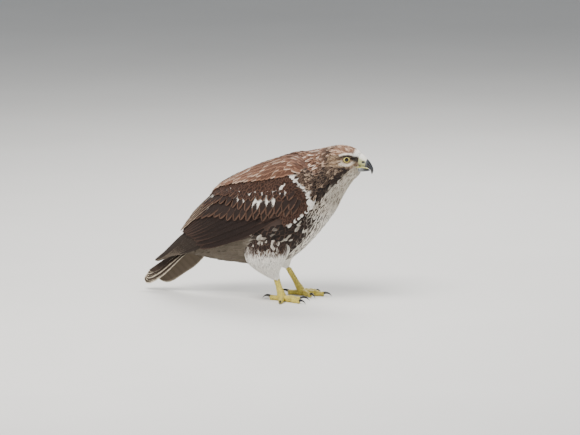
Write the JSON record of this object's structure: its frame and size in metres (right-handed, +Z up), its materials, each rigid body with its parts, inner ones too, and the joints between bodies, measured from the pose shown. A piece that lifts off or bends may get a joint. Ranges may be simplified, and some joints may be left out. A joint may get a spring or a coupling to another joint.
{
  "type": "red-tailed hawk",
  "caption": "Life-size young hawk standing on level ground, leaning forward with folded wings, slanted tail and a hooked bill.",
  "frame": {"origin": "on the ground, under the middle of the whole bird", "axes": "+X ahead of the bird, +Y to its left, +Z up"},
  "size_m": [0.501, 0.178, 0.3221],
  "materials": {
    "back_feathers": "soft layered feathers",
    "head_feathers": "short soft feathers",
    "wing_feathers": "broad smooth feathers",
    "tail_feathers": "broad smooth feathers",
    "pale_feathers": "loose soft feathers",
    "bare_skin": "scaly yellow skin",
    "cere": "smooth waxy skin",
    "horn": "polished dark horn",
    "eye": "clear glossy eye"
  },
  "bodies": {
    "root": {"torso": "back_feathers", "neck": "back_feathers", "head": "head_feathers", "wing_left": "wing_feathers", "wing_right": "wing_feathers", "tail": "tail_feathers", "thigh_left": "pale_feathers", "thigh_right": "pale_feathers", "cere": "cere", "bill_upper": "horn", "bill_lower": "horn", "eye_left": "eye", "eye_right": "eye", "shank_left": "bare_skin", "shank_right": "bare_skin", "toe_back_right": "bare_skin", "claw_back_right": "horn", "toe_inner_right": "bare_skin", "claw_inner_right": "horn", "toe_middle_right": "bare_skin", "claw_middle_right": "horn", "toe_outer_right": "bare_skin", "claw_outer_right": "horn", "toe_back_left": "bare_skin", "claw_back_left": "horn", "toe_inner_left": "bare_skin", "claw_inner_left": "horn", "toe_middle_left": "bare_skin", "claw_middle_left": "horn", "toe_outer_left": "bare_skin", "claw_outer_left": "horn"}
  },
  "joints": []
}
